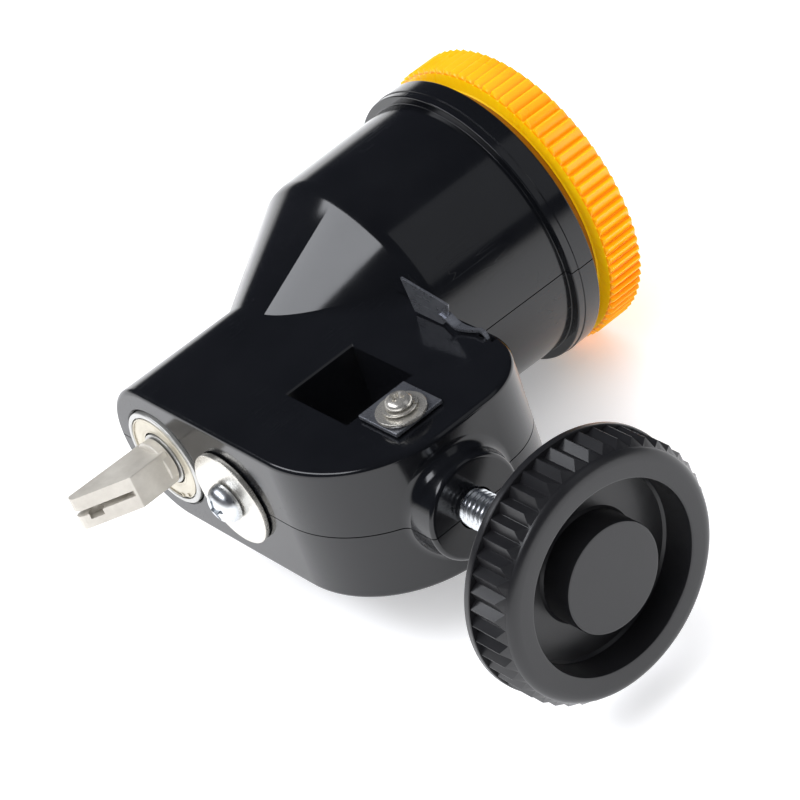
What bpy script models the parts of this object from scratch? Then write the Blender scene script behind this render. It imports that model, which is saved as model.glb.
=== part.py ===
"""Drill bit sharpener: a clamshell body with a conical grinding wheel, a numbered-style
selector disc that guides the drill bits, and a hand clamp screw that grips a square post.

Shaft frame (millimetres in the constants): Y runs along the shaft from the front
bearing's face (y = 0) towards the selector disc, X points to the clamp knob, and the
housing halves meet on the plane z = 0.  The model's own origin is the centre of the
base of the whole object's bounding box.
"""
import bpy
import bmesh
import math
from mathutils import Matrix, Vector

MM = 0.001
GAP = 0.3                      # clearance kept between neighbouring solids

# ---- housing -------------------------------------------------------------
HALF_T = 16.0                  # half thickness of the flat block and nose radius
FRONT_Y = 0.6                  # front face of the nose
BLOCK_X = 66.8                 # right end of the block
BLOCK_Y = 51.4                 # rear edge of the block
FRONT_R = 25.4                 # radius of the block's front right corner
REAR_R = 14.5                  # radius of the block's rear right corner
CONE_Y0, CONE_R0 = 31.2, 16.0  # cone starts on the nose cylinder
CONE_Y1, CONE_R1 = 54.5, 30.2  # and ends on the barrel
BARREL_R = 31.1
FLANGE_Y0, FLANGE_Y1 = 85.4, 91.6
FLANGE_R = 33.3
CHAMBER_R = 27.2               # grinding chamber bore
SPLIT = 0.15                   # half of the joint line between the two shells
BOSS_R, BOSS_X = 11.0, 71.2    # clamp boss
SOCKET = (28.3, 47.2, 17.0, 34.2)   # x0, x1, y0, y1 of the square post socket

# ---- shaft line ----------------------------------------------------------
BRG_R, BRG_BORE, BRG_W = 11.0, 4.0, 7.0   # 608 ball bearing
REAR_BRG_Y = 22.0
SHAFT_R = 3.7
TANG_W, TANG_H = 9.2, 7.4
TANG_Y, TANG_BEND = -20.6, -10.2
TANG_TWIST = math.radians(9.0)
WHEEL_R = 24.5
WHEEL_Y0, WHEEL_Y1 = 59.0, 75.2

# ---- selector disc -------------------------------------------------------
DISC_R = 34.0
DISC_TEETH = 84
DISC_Y0, DISC_Y1 = 94.8, 103.7
DISC_NECK_R = 29.4
SPIGOT_R = 26.8
HOLE_PCR = 18.6
HOLES = [3.5 + 0.5 * i for i in range(14)]

# ---- clamp screw ---------------------------------------------------------
CLAMP_Y = 24.0
KNOB_X0, KNOB_X1 = 98.6, 110.0
KNOB_R, KNOB_FRONT_R = 26.4, 24.7
KNOB_TEETH = 47
PLATE_SCREW = (56.0, 24.3)
BOLT_R = 3.7                   # M8 with clearance
BOLT_X0, BOLT_X1 = 50.4, 105.4

ORIGIN = Vector(((KNOB_X1 - DISC_R) / 2, (DISC_Y1 + TANG_Y) / 2, -DISC_R)) * MM

for ob in list(bpy.data.objects):
    bpy.data.objects.remove(ob, do_unlink=True)
scene = bpy.context.scene
parts = bpy.data.collections.new("drill_bit_sharpener")
cutters = bpy.data.collections.new("cutters")
scene.collection.children.link(parts)
scene.collection.children.link(cutters)

Y_UP = Matrix.Rotation(math.radians(-90), 4, 'X')   # local z -> world y
X_UP = Matrix.Rotation(math.radians(90), 4, 'Y')    # local z -> world x

# ---- materials -----------------------------------------------------------
LOOKS = {
    "black_plastic": ((0.012, 0.012, 0.014, 1), 0.0, 0.22),
    "knob_plastic": ((0.02, 0.02, 0.021, 1), 0.0, 0.42),
    "amber_plastic": ((1.0, 0.42, 0.02, 1), 0.0, 0.18),
    "nickel": ((0.72, 0.68, 0.62, 1), 1.0, 0.28),
    "bearing_steel": ((0.78, 0.78, 0.76, 1), 1.0, 0.2),
    "zinc": ((0.75, 0.78, 0.8, 1), 1.0, 0.3),
    "spring_steel": ((0.5, 0.51, 0.53, 1), 1.0, 0.22),
    "corundum": ((0.62, 0.36, 0.3, 1), 0.0, 0.95),
    "nylon": ((0.85, 0.84, 0.8, 1), 0.0, 0.5),
}


def look(name):
    mat = bpy.data.materials.get(name)
    if mat is None:
        mat = bpy.data.materials.new(name)
        mat.use_nodes = True
        rgba, metal, rough = LOOKS[name]
        b = mat.node_tree.nodes["Principled BSDF"]
        b.inputs["Base Color"].default_value = rgba
        b.inputs["Metallic"].default_value = metal
        b.inputs["Roughness"].default_value = rough
    return mat


# ---- modelling helpers ---------------------------------------------------
def bake(ob, matrix=None):
    """Replace an object by a plain mesh object of its evaluated shape."""
    dg = bpy.context.evaluated_depsgraph_get()
    me = bpy.data.meshes.new_from_object(ob.evaluated_get(dg))
    me.transform(ob.matrix_world)
    if matrix is not None:
        me.transform(matrix)
    name = ob.name
    bpy.data.objects.remove(ob, do_unlink=True)
    bm = bmesh.new()
    bm.from_mesh(me)
    bmesh.ops.remove_doubles(bm, verts=bm.verts, dist=1e-6)
    bmesh.ops.recalc_face_normals(bm, faces=bm.faces)
    bm.to_mesh(me)
    bm.free()
    new = bpy.data.objects.new(name, me)
    new.name = name
    parts.objects.link(new)
    return new


def mesh_object(name, bm, matrix=None):
    me = bpy.data.meshes.new(name)
    bmesh.ops.recalc_face_normals(bm, faces=bm.faces)
    bm.to_mesh(me)
    bm.free()
    if matrix is not None:
        me.transform(matrix)
    ob = bpy.data.objects.new(name, me)
    parts.objects.link(ob)
    return ob


def turned(name, profile, segs, axis='Y', at=(0, 0, 0), closed=False):
    """Screw-modifier solid from (radius, height) points in millimetres."""
    me = bpy.data.meshes.new(name)
    vs = [(r * MM, 0.0, h * MM) for r, h in profile]
    n = len(vs)
    es = [(i, i + 1) for i in range(n - 1)] + ([(n - 1, 0)] if closed else [])
    me.from_pydata(vs, es, [])
    ob = bpy.data.objects.new(name, me)
    parts.objects.link(ob)
    mod = ob.modifiers.new("Screw", 'SCREW')
    mod.axis = 'Z'
    mod.steps = mod.render_steps = segs
    mod.use_merge_vertices = True
    mod.merge_threshold = 1e-5
    m = {'X': X_UP, 'Y': Y_UP, 'Z': Matrix.Identity(4)}[axis]
    return bake(ob, Matrix.Translation(Vector(at) * MM) @ m)


def ring(name, r0, r1, h0, h1, segs, axis='Y', at=(0, 0, 0)):
    return turned(name, [(r1, h1), (r1, h0), (r0, h0), (r0, h1)], segs, axis, at, closed=True)


def rod(name, r, h0, h1, segs, axis='Y', at=(0, 0, 0)):
    return turned(name, [(0, h1), (r, h1), (r, h0), (0, h0)], segs, axis, at)


def box(name, x0, x1, y0, y1, z0, z1, matrix=None):
    bm = bmesh.new()
    bmesh.ops.create_cube(bm, size=1.0)
    for v in bm.verts:
        v.co = Vector(((x0 + x1) / 2 + v.co.x * (x1 - x0), (y0 + y1) / 2 + v.co.y * (y1 - y0),
                       (z0 + z1) / 2 + v.co.z * (z1 - z0))) * MM
    return mesh_object(name, bm, matrix)


def outline(name, pts, h0, h1, matrix=None, edge=0.0):
    """Flat outline, a filled 2D curve thickened from h0 to h1 along local z."""
    cu = bpy.data.curves.new(name, 'CURVE')
    cu.dimensions = '2D'
    cu.fill_mode = 'BOTH'
    sp = cu.splines.new('POLY')
    sp.points.add(len(pts) - 1)
    for p, (x, y) in zip(sp.points, pts):
        p.co = (x * MM, y * MM, 0, 1)
    sp.use_cyclic_u = True
    cu.extrude = ((h1 - h0) / 2 - edge) * MM
    if edge:
        cu.bevel_depth = edge * MM
        cu.bevel_resolution = 1
        cu.offset = -edge * MM
    ob = bpy.data.objects.new(name, cu)
    parts.objects.link(ob)
    ob.location = (0, 0, (h0 + h1) / 2 * MM)
    bpy.context.view_layer.update()
    return bake(ob, matrix)


def boolean(ob, tool, op='DIFFERENCE'):
    mod = ob.modifiers.new(op.title(), 'BOOLEAN')
    mod.operation = op
    mod.object = tool
    mod.solver = 'EXACT'
    new = bake(ob)
    for c in list(tool.users_collection):
        c.objects.unlink(tool)
    bpy.data.objects.remove(tool, do_unlink=True)
    return new


def cut(ob, *tools):
    for t in tools:
        ob = boolean(ob, t, 'DIFFERENCE')
    return ob


def join(ob, *tools):
    for t in tools:
        ob = boolean(ob, t, 'UNION')
    return ob


def copy_of(ob, name):
    new = ob.copy()
    new.data = ob.data.copy()
    new.name = name
    parts.objects.link(new)
    return new


def hexagon(across_flats, phase=0.0):
    r = across_flats / math.sqrt(3)
    return [(r * math.cos(math.radians(60 * i + phase)), r * math.sin(math.radians(60 * i + phase)))
            for i in range(6)]


def arc(cx, cy, r, a0, a1, n):
    return [(cx + r * math.cos(math.radians(a0 + (a1 - a0) * i / n)),
             cy + r * math.sin(math.radians(a0 + (a1 - a0) * i / n))) for i in range(n + 1)]


def shift(x=0.0, y=0.0, z=0.0):
    return Matrix.Translation(Vector((x, y, z)) * MM)


FINAL = []


def finish_part(ob, name, material, angle=35):
    ob.name = name
    ob.data.name = name
    ob.data.materials.clear()
    ob.data.materials.append(look(material))
    ob.data.shade_smooth()
    ob.data.set_sharp_from_angle(angle=math.radians(angle))
    FINAL.append(ob)
    return ob


# ==========================================================================
# Housing: block, nose, cone, barrel with flange, and clamp boss in one outer
# solid, hollowed, then split on z = 0 into two shells.
# ==========================================================================
front = arc(BLOCK_X - FRONT_R, FRONT_Y + FRONT_R, FRONT_R, -90, 0, 12)
rear = arc(BLOCK_X - REAR_R, BLOCK_Y - REAR_R, REAR_R, 0, 90, 8)
block = outline("block", [(0.0, FRONT_Y)] + front + rear + [(0.0, BLOCK_Y)], -HALF_T, HALF_T, edge=0.8)
# the block's left part lies inside the nose and the cone
nose = turned("nose", [(0, CONE_Y0 + 3), (HALF_T - 0.05, CONE_Y0 + 3), (HALF_T - 0.05, FRONT_Y + 1.0),
                       (HALF_T - 0.9, FRONT_Y + 0.02), (0, FRONT_Y + 0.02)], 44)
barrel = turned("barrel", [
    (0, FLANGE_Y1), (FLANGE_R - 0.5, FLANGE_Y1), (FLANGE_R, FLANGE_Y1 - 0.5),
    (FLANGE_R, FLANGE_Y0 + 2.4), (FLANGE_R - 1.3, FLANGE_Y0 + 2.2), (FLANGE_R - 1.3, FLANGE_Y0 + 1.5),
    (FLANGE_R - 0.3, FLANGE_Y0 + 1.3), (FLANGE_R - 0.3, FLANGE_Y0), (BARREL_R, FLANGE_Y0),
    (CONE_R1 + 0.25, CONE_Y1 + 0.8), (CONE_R1 - 0.3, CONE_Y1 - 0.3),
    (CONE_R0 - 0.6, CONE_Y0 - 1.0), (0, CONE_Y0 - 1.0)], 52)
boss = turned("boss", [(0, BOSS_X), (BOSS_R - 1.0, BOSS_X), (BOSS_R, BOSS_X - 1.0),
                       (BOSS_R, BLOCK_X - 0.4), (BOSS_R + 2.2, BLOCK_X - 4.2), (BOSS_R + 2.2, BLOCK_X - 9.0),
                       (0, BLOCK_X - 9.0)], 32, 'X', (0, CLAMP_Y, 0))
body = join(block, nose, barrel, boss)

# bearing pockets, shaft passage and grinding chamber, one turned cutter
bore = turned("bore", [
    (0, FLANGE_Y1 + 3), (CHAMBER_R, FLANGE_Y1 + 3), (CHAMBER_R, 89.4), (CHAMBER_R + 0.9, 89.0),
    (CHAMBER_R + 0.9, 87.2), (CHAMBER_R, 86.8), (CHAMBER_R, 55.3), (12.6, 31.6), (9.6, 31.6), (9.6, 29.3),
    (BRG_R + GAP, 29.3), (BRG_R + GAP, 21.7), (9.6, 21.7), (9.6, 7.3), (BRG_R + GAP, 7.3),
    (BRG_R + GAP, -3), (0, -3)], 44)
socket = box("socket", SOCKET[0], SOCKET[1], SOCKET[2], SOCKET[3], -20, 20)
bolt_way = rod("bolt_way", 4.3, 44, 80, 24, 'X', (0, CLAMP_Y, 0))
nut_way = outline("nut_way", hexagon(13.0 + 2 * GAP), 56.7, 63.8,
                  shift(0, CLAMP_Y, 0) @ X_UP)
front_hole = rod("front_hole", 2.3, -2, 13.5, 12, 'Y', (23.6, 0, 0))
plate_hole = rod("plate_hole", 1.8, 9.7, 20, 12, 'Z', (PLATE_SCREW[0], PLATE_SCREW[1], 0))
blade_slot = box("blade_slot", 50.2, 54.4, 49.2, 50.4, 9.0, 20)
core_a = box("core_a", 14.8, 25.2, 15.0, 30.0, -13, 13)
core_b = box("core_b", 30.5, 49.5, 3.8, 13.6, -13, 13)
core_c = box("core_c", 33.5, 48.5, 37.6, 48.0, -13, 13)
body = cut(body, bore, socket, bolt_way, nut_way, front_hole, plate_hole, blade_slot, core_a, core_b, core_c)

SCREWS = [(17.6, 9.6), (56.6, 11.6), (56.6, 41.4), (28.6, 41.2)]
for i, (sx, sy) in enumerate(SCREWS):
    body = cut(body, turned("screw_way", [(0, 10.0), (1.8, 10.0), (1.8, -13.0), (3.4, -13.0),
                                          (3.4, -18.0), (0, -18.0)], 16, 'Z', (sx, sy, 0)))

upper = copy_of(body, "upper")
lower = body
lower.name = "lower"
upper = boolean(upper, box("half", -60, 120, -20, 120, SPLIT, 60), 'INTERSECT')
lower = boolean(lower, box("half", -60, 120, -20, 120, -60, -SPLIT), 'INTERSECT')
finish_part(upper, "upper_housing", "black_plastic")
finish_part(lower, "lower_housing", "black_plastic")


# ==========================================================================
# Two shielded 608 ball bearings
# ==========================================================================
def bearing(prefix, y0):
    yc, pitch, ball, race = y0 + BRG_W / 2, 7.5, 1.85, 2.18
    out_in, in_out = 9.2, 5.8
    a_o = math.degrees(math.asin((out_in - pitch) / race))
    a_i = math.degrees(math.asin((pitch - in_out) / race))
    y1 = y0 + BRG_W
    outer = [(BRG_R, y1), (BRG_R, y0), (9.9, y0), (9.9, y0 + 0.9), (out_in, y0 + 0.9)]
    outer += [(pitch + race * math.sin(math.radians(a)), yc + race * math.cos(math.radians(a)))
              for a in [180 - a_o - (180 - 2 * a_o) * k / 4 for k in range(5)]]
    outer += [(out_in, y1 - 0.9), (9.9, y1 - 0.9), (9.9, y1)]
    finish_part(turned("o", outer, 28, closed=True), prefix + "_outer_ring", "bearing_steel")
    inner = [(in_out, y1)]
    inner += [(pitch - race * math.sin(math.radians(a)), yc + race * math.cos(math.radians(a)))
              for a in [a_i + (180 - 2 * a_i) * k / 4 for k in range(5)]]
    inner += [(in_out, y0), (BRG_BORE, y0), (BRG_BORE, y1)]
    finish_part(turned("i", inner, 20, closed=True), prefix + "_inner_ring", "bearing_steel")
    cage = ring("c", pitch - 0.6, pitch + 0.6, yc - 1.2, yc + 1.2, 21)
    for k in range(7):
        a = 2 * math.pi * (k + 0.5) / 7
        bm = bmesh.new()
        bmesh.ops.create_uvsphere(bm, u_segments=6, v_segments=4, radius=ball * MM)
        cage = join(cage, mesh_object("b", bm, shift(pitch * math.cos(a), yc, pitch * math.sin(a))
                                      @ Matrix.Rotation(-a, 4, 'Y')))
    finish_part(cage, prefix + "_ball_cage", "bearing_steel")
    for tag, a, b in (("front", y0 + 0.1, y0 + 0.6), ("rear", y1 - 0.6, y1 - 0.1)):
        finish_part(ring("s", in_out + GAP, 9.9 - GAP, a, b, 24), prefix + "_" + tag + "_shield", "nickel")


bearing("front_bearing", 0.0)
bearing("rear_bearing", REAR_BRG_Y)

# ==========================================================================
# Drive shaft with its bevelled, slotted tang
# ==========================================================================
shaft = turned("shaft", [(0, 85.6), (SHAFT_R - 0.6, 85.6), (SHAFT_R, 85.0), (SHAFT_R, -0.3),
                         (5.2, -0.3), (5.2, -2.2), (3.0, -2.6), (0, -2.6)], 20)
hw, hh = TANG_W / 2, TANG_H / 2
tang = outline("tang", [(hw, -0.9), (-hw, -0.9), (-hw, TANG_Y + 0.6), (-hw + 0.5, TANG_Y),
                        (-hw + 1.9, TANG_Y), (-hw + 2.5, TANG_Y + 0.5), (hw, TANG_BEND)], -hh, hh)
tang = cut(tang, box("slot", -8, 8, -30, TANG_BEND - 0.4, -0.65, 0.65),
           rod("cross_hole", 1.7, -1.9, 0.0, 14, 'Z', (-hw + 3.3, TANG_Y + 3.2, 0)))
tang.data.transform(Matrix.Rotation(-TANG_TWIST, 4, 'Y'))
shaft = join(shaft, tang)
finish_part(shaft, "drive_shaft", "nickel", 25)

finish_part(ring("sp", BRG_BORE, 5.6, 7.3, 21.7, 20), "bearing_spacer", "zinc")
finish_part(ring("sl", BRG_BORE, 5.6, 29.3, 55.9, 20), "wheel_sleeve", "zinc")
finish_part(ring("w1", BRG_BORE, 10.0, 56.2, 58.7, 24), "wheel_rear_washer", "zinc")
finish_part(turned("gw", [(9.0, WHEEL_Y1), (WHEEL_R, WHEEL_Y0 + 6.7), (WHEEL_R, WHEEL_Y0), (BRG_BORE, WHEEL_Y0),
                          (BRG_BORE, WHEEL_Y1)], 40, closed=True), "grinding_wheel", "corundum")
finish_part(ring("w2", BRG_BORE, 8.0, WHEEL_Y1 + GAP, WHEEL_Y1 + 1.9, 20), "wheel_front_washer", "zinc")
nut = outline("n", hexagon(13.0), WHEEL_Y1 + 2.2, WHEEL_Y1 + 8.7, Y_UP)
nut = cut(nut, rod("nb", BRG_BORE, WHEEL_Y1, WHEEL_Y1 + 12, 20))
finish_part(nut, "wheel_nut", "zinc")

# ==========================================================================
# Selector disc: saw-tooth rim, neck and spigot that snaps into the barrel,
# fourteen guide holes from 3.5 to 10 mm
# ==========================================================================
rim = []
for i in range(DISC_TEETH):
    a0 = 2 * math.pi * i / DISC_TEETH
    a1 = 2 * math.pi * (i + 0.78) / DISC_TEETH
    rim += [(DISC_R * math.cos(a0), DISC_R * math.sin(a0)),
            ((DISC_R - 1.1) * math.cos(a1), (DISC_R - 1.1) * math.sin(a1))]
disc = outline("disc", rim, DISC_Y0, DISC_Y1, Y_UP)
spigot = turned("spigot", [(0, DISC_Y0 + 2), (DISC_NECK_R, DISC_Y0 + 2), (DISC_NECK_R, FLANGE_Y1 + GAP),
                           (SPIGOT_R, FLANGE_Y1 + GAP), (SPIGOT_R, 89.1), (SPIGOT_R + 0.7, 88.7),
                           (SPIGOT_R + 0.7, 87.5), (SPIGOT_R, 87.1), (SPIGOT_R, 86.6), (0, 86.6)], 42)
disc = join(disc, spigot)
gap = (2 * math.pi * HOLE_PCR - sum(HOLES)) / len(HOLES)
s = 0.0
HOLE_CENTRES = []
for d in HOLES:
    a = math.radians(90) + (s + d / 2) / HOLE_PCR
    s += d + gap
    cx, cz = HOLE_PCR * math.cos(a), HOLE_PCR * math.sin(a)
    HOLE_CENTRES.append((cx, cz, d))
    disc = cut(disc, rod("guide", d / 2, 84, 108, 16 if d >= 6 else 10, 'Y', (cx, 0, cz)))
disc = cut(disc, rod("core", 9.0, 84, 99.5, 24))
finish_part(disc, "selector_disc", "amber_plastic")

# ==========================================================================
# Clamp screw: knob, M8 bolt, captive nut and nylon pad
# ==========================================================================
axis_at = (0, CLAMP_Y, 0)
flutes = []
for i in range(KNOB_TEETH):
    a0 = 2 * math.pi * i / KNOB_TEETH
    a1 = 2 * math.pi * (i + 0.5) / KNOB_TEETH
    flutes += [((KNOB_R - 0.2) * math.cos(a0), (KNOB_R - 0.2) * math.sin(a0)),
               ((KNOB_R - 1.5) * math.cos(a1), (KNOB_R - 1.5) * math.sin(a1))]
knob = turned("knob", [
    (0, KNOB_X1 - 0.2), (11.1, KNOB_X1 - 0.2), (11.1, 102.6), (19.2, 102.6), (19.2, KNOB_X1),
    (22.8, KNOB_X1), (24.4, KNOB_X1 - 1.0), (25.0, KNOB_X1 - 3.0),
    (24.8, KNOB_X0 + 1.9), (KNOB_R, KNOB_X0 + 1.7), (KNOB_R, KNOB_X0 + 0.4),
    (KNOB_R - 0.4, KNOB_X0), (10.0, KNOB_X0), (8.0, KNOB_X0 - 4.0), (0, KNOB_X0 - 4.0)], 40, 'X', axis_at)
knob = join(knob, outline("flutes", flutes, KNOB_X0 + 1.2, KNOB_X1 - 2.2, shift(*axis_at) @ X_UP))
knob = cut(knob, rod("k1", BOLT_R + GAP, KNOB_X0 - 6, KNOB_X0 + 4, 24, 'X', axis_at),
           outline("k2", hexagon(13.0 + 2 * GAP), 99.6, BOLT_X1 + GAP, shift(*axis_at) @ X_UP),
           rod("vent", 0.8, 104, 112, 8, 'X', axis_at))
finish_part(knob, "clamp_knob", "knob_plastic", 30)

bolt = rod("bolt", BOLT_R, BOLT_X0, 101.0, 24, 'X', axis_at)
bolt = join(bolt, outline("head", hexagon(13.0), 99.9, BOLT_X1, shift(*axis_at) @ X_UP))
finish_part(bolt, "clamp_bolt", "zinc")
finish_part(rod("pad", BOLT_R, 47.6, BOLT_X0 - GAP, 24, 'X', axis_at), "clamp_pad", "nylon")
cn = outline("cn", hexagon(13.0), 57.0, 63.5, shift(*axis_at) @ X_UP)
cn = cut(cn, rod("cb", BOLT_R + GAP, 50, 70, 24, 'X', axis_at))
finish_part(cn, "clamp_nut", "zinc")


# ==========================================================================
# Fasteners and small steel pieces
# ==========================================================================
def pan_screw(name, head_r, head_h, shank_r, length, axis, at, flip, material="zinc"):
    """Pan head screw; the head stands on the plane through `at`, the shank runs the other way."""
    prof = [(0, head_h), (head_r * 0.6, head_h * 0.92), (head_r, head_h * 0.4), (head_r, 0),
            (shank_r, 0), (shank_r, -length + 1.2), (0.4, -length), (0, -length)]
    if flip:
        prof = [(r, -h) for r, h in reversed(prof)]
    ob = turned("s", prof, 12, axis)
    sgn = -1 if flip else 1
    top = head_h * sgn
    for w, l in ((0.9, head_r * 1.1), (head_r * 1.1, 0.9)):
        lo, hi = sorted((top - sgn * head_h * 0.5, top + sgn))
        bx = box("cross", -w / 2, w / 2, -l / 2, l / 2, lo, hi)
        m = {'X': X_UP, 'Y': Y_UP, 'Z': Matrix.Identity(4)}[axis]
        bx.data.transform(m)
        ob = cut(ob, bx)
    ob.data.transform(shift(*at))
    return finish_part(ob, name, material)


# penny washer and screw on the nose, on the joint line
WY = FRONT_Y - GAP
finish_part(ring("fw", 2.6, 10.5, WY - 1.2, WY, 36, 'Y', (23.6, 0, 0)), "front_washer", "spring_steel")
pan_screw("front_screw", 4.3, 3.6, 2.0, 12.0, 'Y', (23.6, WY - 1.5, 0), True)

# square hold-down plate with washer, spring washer and screw beside the socket
PZ = HALF_T + GAP
plate = box("plate", 48.6, 60.2, 19.1, 31.0, PZ, PZ + 0.9)
finish_part(cut(plate, rod("ph", 1.9, 0, 30, 16, 'Z', (PLATE_SCREW[0], PLATE_SCREW[1], 0))), "socket_plate",
            "spring_steel")
finish_part(ring("pw", 1.9, 5.15, PZ + 1.2, PZ + 2.0, 20, 'Z', (PLATE_SCREW[0], PLATE_SCREW[1], 0)),
            "plate_washer", "spring_steel")
finish_part(ring("ps", 1.9, 3.57, PZ + 2.3, PZ + 2.9, 16, 'Z', (PLATE_SCREW[0], PLATE_SCREW[1], 0)),
            "plate_spring_washer", "spring_steel")
pan_screw("plate_screw", 2.85, 1.7, 1.5, 9.2, 'Z', (PLATE_SCREW[0], PLATE_SCREW[1], PZ + 3.2), False)

# pointer: upright pointed blade on a bent strip whose tail sits in a slot of the upper shell
B = 0.5
blade = outline("blade", [(32.6, 16.5), (41.2, 16.4), (43.2, 18.0), (45.2, 22.6), (31.4, 24.6)], -0.25, 0.25,
                shift(0, 48.0, 0) @ Matrix.Rotation(math.radians(90), 4, 'X'))
strip_side = [(42.0, 19.2), (43.4, 18.3), (44.6, 16.9), (46.2, 16.35), (48.4, 16.35), (50.8, 16.9),
              (51.7, 16.2), (52.0, 15.2), (52.0, 10.0)]
top = [(42.3, 19.9), (43.8, 18.9), (44.9, 17.4), (46.3, 16.9), (48.3, 16.9), (50.9, 17.5), (52.1, 16.6),
       (52.5, 15.3), (52.5, 10.0)]
strip = outline("strip", strip_side + top[::-1], -1.0, 1.0,
                Matrix.Rotation(math.radians(90), 4, 'X'))
# shear the strip so that it starts on the blade and ends in the slot at the rear edge
for v in strip.data.vertices:
    x = v.co.x / MM
    t = min(max((x - 43.6) / 8.0, 0.0), 1.0)
    v.co.y = v.co.y * (1.0 if t < 0.2 else 1.0 - 0.55 * min((t - 0.2) * 2, 1.0)) + (48.2 + 1.6 * t) * MM
blade = join(blade, strip)
finish_part(blade, "pointer_blade", "spring_steel", 25)

for i, (sx, sy) in enumerate(SCREWS):
    pan_screw("housing_screw_%d" % (i + 1), 3.0, 1.9, 1.5, 21.0, 'Z', (sx, sy, -13.3), True)

# ==========================================================================
# Place everything: one empty on the shaft axis, one on the clamp screw's axis
# ==========================================================================
shaft_axis = bpy.data.objects.new("shaft_axis", None)
clamp_axis = bpy.data.objects.new("clamp_axis", None)
for e in (shaft_axis, clamp_axis):
    parts.objects.link(e)
    e.empty_display_size = 0.01
shaft_axis.location = -ORIGIN
clamp_axis.location = Vector((0, CLAMP_Y, 0)) * MM - ORIGIN
for ob in FINAL:
    if ob.name in ("clamp_knob", "clamp_bolt", "clamp_pad"):
        ob.data.transform(shift(0, -CLAMP_Y, 0))
        ob.parent = clamp_axis
    else:
        ob.parent = shaft_axis
    for c in list(ob.users_collection):
        if c is not parts:
            c.objects.unlink(ob)
bpy.context.view_layer.update()
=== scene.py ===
"""Drill bit sharpener: the visual model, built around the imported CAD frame.

Shapes are made in the shaft frame in millimetres (Y along the shaft from the front bearing's
face to the selector disc, X to the clamp knob, the joint of the two shells at z = 0) and then
moved to the row frame with the front bearing's box.
"""

import bpy
import bmesh
import math
import random
from mathutils import Matrix, Vector


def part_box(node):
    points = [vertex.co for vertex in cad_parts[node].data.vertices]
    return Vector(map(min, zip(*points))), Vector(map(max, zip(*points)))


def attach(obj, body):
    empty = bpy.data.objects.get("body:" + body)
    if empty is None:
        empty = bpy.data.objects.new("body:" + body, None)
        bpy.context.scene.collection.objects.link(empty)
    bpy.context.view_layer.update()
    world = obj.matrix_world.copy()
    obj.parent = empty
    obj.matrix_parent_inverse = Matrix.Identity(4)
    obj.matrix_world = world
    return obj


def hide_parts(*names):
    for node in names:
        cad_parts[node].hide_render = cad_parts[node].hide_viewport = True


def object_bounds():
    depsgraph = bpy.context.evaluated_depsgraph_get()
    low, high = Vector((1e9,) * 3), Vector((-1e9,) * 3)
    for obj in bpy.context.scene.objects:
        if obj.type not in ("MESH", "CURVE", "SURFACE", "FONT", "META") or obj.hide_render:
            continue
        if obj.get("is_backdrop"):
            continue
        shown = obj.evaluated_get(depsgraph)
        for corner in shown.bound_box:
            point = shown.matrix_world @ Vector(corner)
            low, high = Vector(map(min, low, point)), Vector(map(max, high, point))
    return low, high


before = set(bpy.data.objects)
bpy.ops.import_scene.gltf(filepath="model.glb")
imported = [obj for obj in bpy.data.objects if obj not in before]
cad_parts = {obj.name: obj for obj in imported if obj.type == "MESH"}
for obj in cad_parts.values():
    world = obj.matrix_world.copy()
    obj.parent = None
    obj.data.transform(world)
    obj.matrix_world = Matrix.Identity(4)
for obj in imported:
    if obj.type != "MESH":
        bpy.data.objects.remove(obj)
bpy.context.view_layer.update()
random.seed(7)

MM = 0.001
_lo, _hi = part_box("front_bearing_outer_ring")
ORG = Vector(((_lo.x + _hi.x) / 2, _lo.y, (_lo.z + _hi.z) / 2))
TO_ROW = Matrix.Translation(ORG)
Y_UP = Matrix.Rotation(math.radians(-90), 4, 'X')
X_UP = Matrix.Rotation(math.radians(90), 4, 'Y')
I4 = Matrix.Identity(4)
AXIS = {'X': X_UP, 'Y': Y_UP, 'Z': I4}

pieces = bpy.data.collections.new("pieces")
bpy.context.scene.collection.children.link(pieces)


# ==========================================================================
# Mesh helpers
# ==========================================================================
def shift(x=0.0, y=0.0, z=0.0):
    return Matrix.Translation(Vector((x, y, z)) * MM)


def add(name, me):
    ob = bpy.data.objects.new(name, me)
    pieces.objects.link(ob)
    return ob


def from_bm(name, bm, matrix=None):
    me = bpy.data.meshes.new(name)
    bmesh.ops.recalc_face_normals(bm, faces=bm.faces)
    bm.to_mesh(me)
    bm.free()
    if matrix is not None:
        me.transform(matrix)
    return add(name, me)


def arc(cx, cy, r, a0, a1, n):
    return [(cx + r * math.cos(math.radians(a0 + (a1 - a0) * i / n)),
             cy + r * math.sin(math.radians(a0 + (a1 - a0) * i / n))) for i in range(n + 1)]


def softened(pts, radii, n=4, closed=False):
    """Round the corners of a polyline; radii is one number or one per point."""
    out = []
    m = len(pts)
    if not isinstance(radii, (list, tuple)):
        radii = [radii] * m
    for i, p in enumerate(pts):
        r = radii[i]
        if (not closed and i in (0, m - 1)) or r <= 0:
            out.append(tuple(p))
            continue
        a, b, c = Vector(pts[i - 1]), Vector(p), Vector(pts[(i + 1) % m])
        u, v = (a - b), (c - b)
        lu, lv = u.length, v.length
        if lu < 1e-6 or lv < 1e-6:
            out.append(tuple(p))
            continue
        u, v = u / lu, v / lv
        ang = math.acos(max(-1, min(1, u.dot(v))))
        if ang > math.pi - 0.02:
            out.append(tuple(p))
            continue
        t = min(r / math.tan(ang / 2), lu * 0.48, lv * 0.48)
        rr = t * math.tan(ang / 2)
        bis = (u + v).normalized()
        cen = b + bis * (rr / math.sin(ang / 2))
        s, e = b + u * t - cen, b + v * t - cen
        tot = s.angle(e)
        for k in range(n + 1):
            f = k / n
            w = (s * math.sin((1 - f) * tot) + e * math.sin(f * tot)) / math.sin(tot) if tot > 1e-4 else s.lerp(e, f)
            out.append(tuple(cen + w))
    return out


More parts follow.
